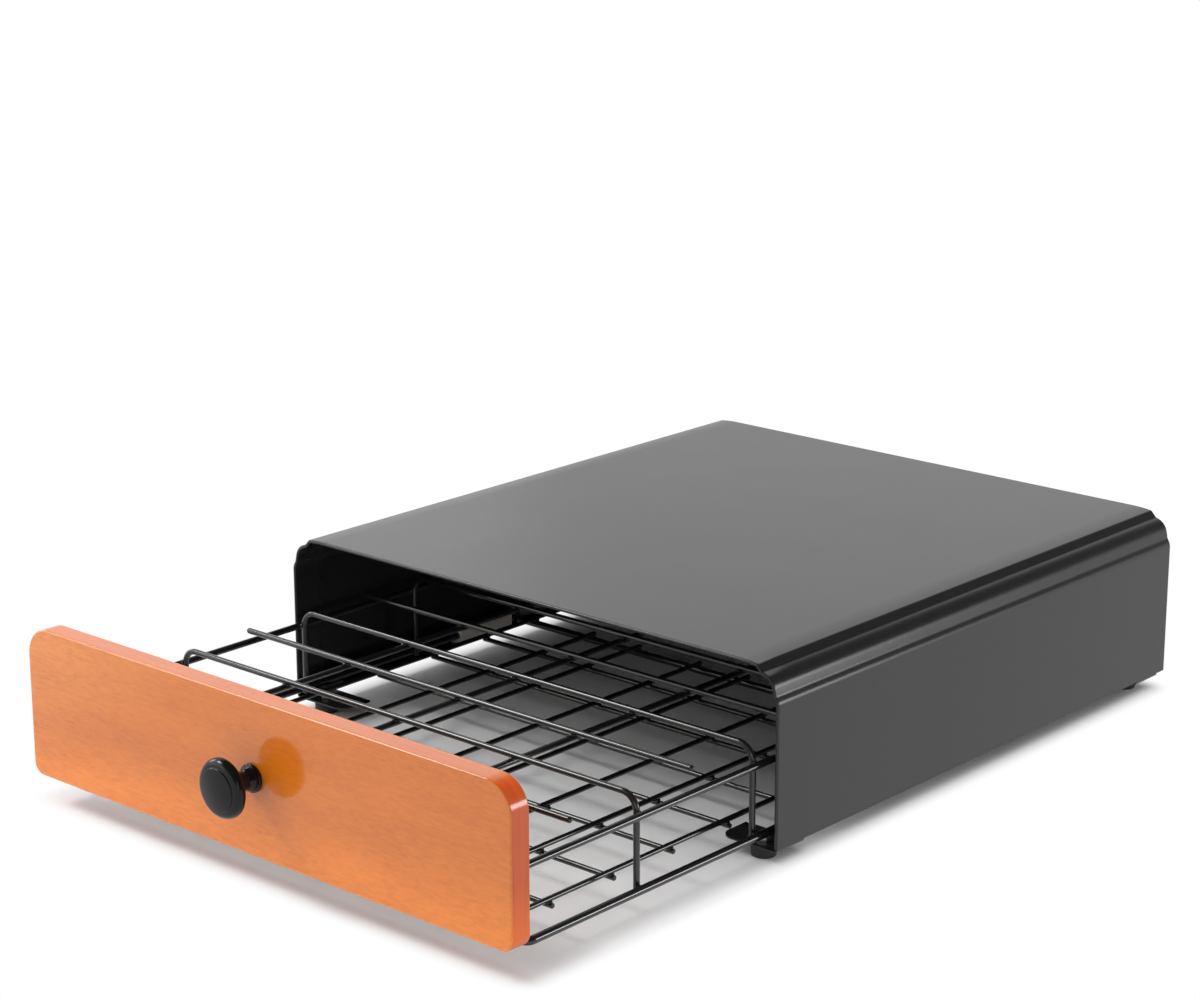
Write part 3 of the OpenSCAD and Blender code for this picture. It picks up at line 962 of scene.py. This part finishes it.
def board_screws():
    """Two screws through each plate into the board."""
    low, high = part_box("board_screws")
    plate_low, plate_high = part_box("mounting_plate_right")
    plate_x = (plate_low.x + plate_high.x) / 2
    head_r = high.x - plate_x
    head = screw_head(Y * plate_high.y, Y, head_r, high.y - plate_high.y)
    heights = (low.z + head_r, high.z - head_r)
    piece = copy_at(head, *[Vector((x, 0, z)) for x in (-plate_x, plate_x) for z in heights])
    dress(piece, "front_fixing_screws", "drawer", "zinc", ZINC, "board_screws")


# ---- Basket ----

HOOPS = ["front_hoop", "side_hoop_1", "side_hoop_2", "side_hoop_3", "rear_hoop"]
DIVIDERS = ("left", "middle", "right")
MIDDLE_WIRES, FLOOR_RAILS, FLOOR_WIRES = range(1, 5), range(1, 9), range(1, 8)


def wire(start, end, radius, tip):
    """A straight wire whose ends are rounded over a share of its radius."""
    length = (end - start).length
    tip_r = radius * tip
    turns = [math.radians(angle) for angle in (10, 40, 65, 90)]
    nose = [(radius - tip_r + tip_r * math.sin(a), tip_r - tip_r * math.cos(a)) for a in turns]
    tail = [(r, length - h) for r, h in reversed(nose)]
    return smooth(turned(start, (end - start).normalized(), nose + tail, sides=WIRE_SIDES))


def straight_wire(node, name, tip):
    """Replaces a straight CAD wire that runs along its box's longest side."""
    low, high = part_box(node)
    size = high - low
    along = max(range(3), key=lambda i: size[i])
    radius = size[(along + 1) % 3] / 2
    start, end = centre(node), centre(node)
    start[along], end[along] = low[along], high[along]
    dress(wire(start, end, radius, tip), name, "drawer", "black_wire", WIRE, node)


def straight_wires():
    """All straight wires. The ones across the middle end free and are rounded further."""
    groups = (
        ("upper_rail", "side_wire", ("left", "right"), CUT_TIP),
        ("divider", "dividing_wire", DIVIDERS, CUT_TIP),
        ("middle_wire", "cross_wire", MIDDLE_WIRES, ROUND_TIP),
        ("floor_rail", "floor_bar", FLOOR_RAILS, CUT_TIP),
        ("floor_wire", "floor_cross_bar", FLOOR_WIRES, CUT_TIP),
    )
    for node, name, endings, tip in groups:
        for ending in endings:
            straight_wire(f"{node}_{ending}", f"{name}_{ending}", tip)


def frame_wire():
    """One wire bent round the bottom of the basket."""
    low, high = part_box("bottom_frame")
    radius = (high.z - low.z) / 2
    straight_x = high.x - low.x - 2 * (FRAME_BEND + radius)
    straight_y = high.y - low.y - 2 * (FRAME_BEND + radius)
    start = (0, low.y + radius, centre("bottom_frame").z)
    moves = [
        straight_x / 2, (Y, FRAME_BEND), straight_y, (-X, FRAME_BEND), straight_x,
        (-Y, FRAME_BEND), straight_y, (X, FRAME_BEND), straight_x / 2,
    ]
    piece = smooth(bent_wire(start, X, radius, moves, loop=True))
    dress(piece, "bent_frame_wire", "drawer", "black_wire", WIRE, "bottom_frame")


def hoop_wires():
    """Posts and cross wire bent from one wire each."""
    for node in HOOPS:
        low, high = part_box(node)
        radius = (high.y - low.y) / 2
        post = high.z - low.z - radius - HOOP_BEND
        across = high.x - low.x - 2 * (radius + HOOP_BEND)
        start = (low.x + radius, centre(node).y, low.z)
        piece = bent_wire(start, Z, radius, [post, (X, HOOP_BEND), across, (-Z, HOOP_BEND), post])
        smooth(piece)
        dress(piece, "bent_" + node, "drawer", "black_wire", WIRE, node)


def weld_places():
    """Middle and normal of every spot where two of the basket's wires are welded."""
    frame_low, frame_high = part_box("bottom_frame")
    frame_r = (frame_high.z - frame_low.z) / 2
    floor_ys = [centre(f"floor_wire_{number}").y for number in FLOOR_WIRES]
    floor_ys += [frame_low.y + frame_r, frame_high.y - frame_r]
    top_ys = [centre(hoop).y for hoop in HOOPS]
    top_ys += [centre(f"middle_wire_{number}").y for number in MIDDLE_WIRES]
    post_r = 1.5 * MM

    places = []
    for number in FLOOR_RAILS:
        rail = underside(f"floor_rail_{number}")
        places += [(Vector((rail.x, y, rail.z)), Z) for y in floor_ys]
    for side in DIVIDERS:
        divider = f"divider_{side}"
        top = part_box(divider)[1].z
        places += [(Vector((centre(divider).x, y, top)), Z) for y in top_ys]
    for hoop in HOOPS:
        post_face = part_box(hoop)[1].x
        y = centre(hoop).y
        for side in (-1, 1):
            places.append((Vector((side * post_face, y, centre("upper_rail_right").z)), X))
            if hoop.startswith("side"):
                places.append((Vector((side * post_face, y, centre("bottom_frame").z)), X))
            else:
                places.append((Vector((side * (post_face - post_r), y, frame_high.z)), Z))
    return places


def welds():
    """Small flattened beads of weld under the coat, one at each crossing of two wires."""
    bead_r, bead_h = 1.75 * MM, 0.95 * MM
    places = weld_places()
    groups = []
    for normal in (Z, X):
        size = [bead_h if part else bead_r for part in normal]
        bead = add("ico_sphere", (0, 0, 0), size, subdivisions=2, radius=1)
        groups.append(copy_at(bead, *[place for place, facing in places if facing == normal]))
    piece = join(groups)
    smooth(piece, 80)
    dress(piece, "wire_welds", "drawer", "black_wire", WIRE)


def dress_plain_nodes():
    """The guides and glides keep their CAD shape and take a plastic finish."""
    for side in ("left", "right"):
        for node, material in ((f"runner_guide_{side}", BLACK_PLASTIC), (f"glide_{side}", WHITE_PLASTIC)):
            slots = frame["nodes"][node].data.materials
            slots.clear()
            slots.append(material)


# ---- Stage: camera, floor and light ----

def camera():
    """Looks down at the front right corner."""
    place = Vector((0.9176, -1.039375, 0.5212))
    azimuth, elevation, roll = math.radians(41.72), math.radians(15.77), math.radians(-0.09)
    forward = Vector((
        -math.sin(azimuth) * math.cos(elevation),
        math.cos(azimuth) * math.cos(elevation),
        -math.sin(elevation),
    ))
    level = Vector((math.cos(azimuth), math.sin(azimuth), 0))
    upright = level.cross(forward)
    right = level * math.cos(roll) + upright * math.sin(roll)
    up = upright * math.cos(roll) - level * math.sin(roll)
    data = bpy.data.cameras.new("camera")
    data.lens = 87.33
    data.sensor_width = 36
    data.sensor_fit = "HORIZONTAL"
    piece = bpy.data.objects.new("camera", data)
    bpy.context.scene.collection.objects.link(piece)
    turn = Matrix((right, up, -forward)).transposed()
    piece.matrix_world = Matrix.Translation(place) @ turn.to_4x4()
    bpy.context.scene.camera = piece


def floor():
    """A pale floor that keeps the shadow round the rest pose and fades to plain white beyond it."""
    width = 14
    inset_x, inset_y, fade = 7 * MM, 12 * MM, 16 * MM
    middle_y = (FRONT_PLANE + REAR) / 2
    half_size = (HALF_W - inset_x, (REAR - FRONT_PLANE) / 2 - inset_y, 1)
    piece = add("plane", (0, 0, 0), (width, width, 1), size=1)
    bpy.ops.object.mode_set(mode="OBJECT")
    piece.name = "studio_floor"
    finish = new_finish("pale_floor")
    place = finish.vector("SUBTRACT", finish.points(), (0, middle_y, 0))
    outside = finish.vector("SUBTRACT", finish.vector("ABSOLUTE", place), half_size)
    outside = finish.vector("MAXIMUM", outside, (0, 0, 0))
    distance = finish.node("VectorMath", {0: outside}, output="Value", operation="LENGTH")
    span = {"Value": distance, "From Max": fade}
    far = finish.node("MapRange", span, interpolation_type="SMOOTHSTEP")
    plain = far * finish.rays("Is Camera Ray", "Is Glossy Ray")
    paper = finish.node("BsdfDiffuse", {"Color": grey(0.86)})
    white = finish.node("Emission", {"Color": grey(1), "Strength": 1})
    shader = finish.node("MixShader", {0: plain, 1: paper, 2: white})
    finish.node("OutputMaterial", {"Surface": shader})
    piece.data.materials.append(finish.owner)


def world():
    """White to the eye and even as diffuse light. Gloss sees it dimmer overhead, lower on the right."""
    diffuse_level, overhead_cut = 0.76, 0.9
    right_share, edge_height, edge_steepness = 0.5, 0.40, 8
    owner = bpy.data.worlds.new("studio")
    bpy.context.scene.world = owner
    finish = Finish(owner)
    seen = finish.rays("Is Camera Ray", "Is Glossy Ray", "Is Transmission Ray")
    way = finish.node("TexCoord", output="Generated")
    across, up = finish.part(way, "X"), finish.part(way, "Z")
    overhead = ((up + across * right_share - edge_height) * edge_steepness).clamped()
    dimmed = overhead * finish.rays("Is Glossy Ray")
    strength = (1 - seen) * diffuse_level + seen * (1 - dimmed * overhead_cut)
    shader = finish.node("Background", {"Color": grey(1), "Strength": strength})
    finish.node("OutputWorld", {"Surface": shader})


def lamp(name, place, target, size, watts, spread=180):
    """A soft box that faces a target, with a grid that narrows its spread to an angle in degrees."""
    data = bpy.data.lights.new(name, "AREA")
    data.shape = "RECTANGLE"
    data.size, data.size_y = size
    data.energy = watts
    data.spread = math.radians(spread)
    light = bpy.data.objects.new(name, data)
    bpy.context.scene.collection.objects.link(light)
    light.location = place
    light.rotation_euler = (Vector(place) - Vector(target)).to_track_quat("Z", "Y").to_euler()
    light.visible_camera = False


def lights():
    """Soft boxes, each with its place, its target, its width and height, and its watts."""
    basket = (0, 0.05, 0.05)
    board = (-0.1, -0.2, 0.05)
    board_front = (0, -0.25, 0.05)
    right_wall = (0.16, -0.05, 0.09)
    front_right_corner = (0.152, -0.16, 0.085)
    lamp("soft_box_overhead", (-1.2, -0.75, 1.35), basket, (0.6, 0.45), 13)
    lamp("soft_box_front", (-0.5, -0.68, 0.28), board, (0.5, 0.4), 0.8)
    lamp("soft_box_right", (1.325, 0.905, 0.22), right_wall, (0.45, 0.38), 3.2)
    lamp("soft_box_on_the_corner", (1.30, 0.90, 0.24), front_right_corner, (0.36, 0.36), 0.03, spread=16)
    lamp("soft_box_left", (-1.2, -0.25, 0.55), board_front, (0.6, 0.4), 0.15, spread=36)
    lamp("soft_box_by_the_camera", (1.25, -1.15, 0.45), basket, (0.3, 0.6), 1.4)
    lamp("soft_box_behind", (-1.9, 1.1, 0.75), basket, (1.2, 0.7), 1.0)


camera()
floor()
world()
lights()
bpy.context.scene.view_settings.view_transform = "Standard"

housing_sheet()
back_panel()
bumpers()
runners()
feet()
foot_screws()
foot_nuts()
front_board()
knob()
knob_fixings()
fixing_plates()
board_screws()
frame_wire()
hoop_wires()
straight_wires()
welds()
dress_plain_nodes()
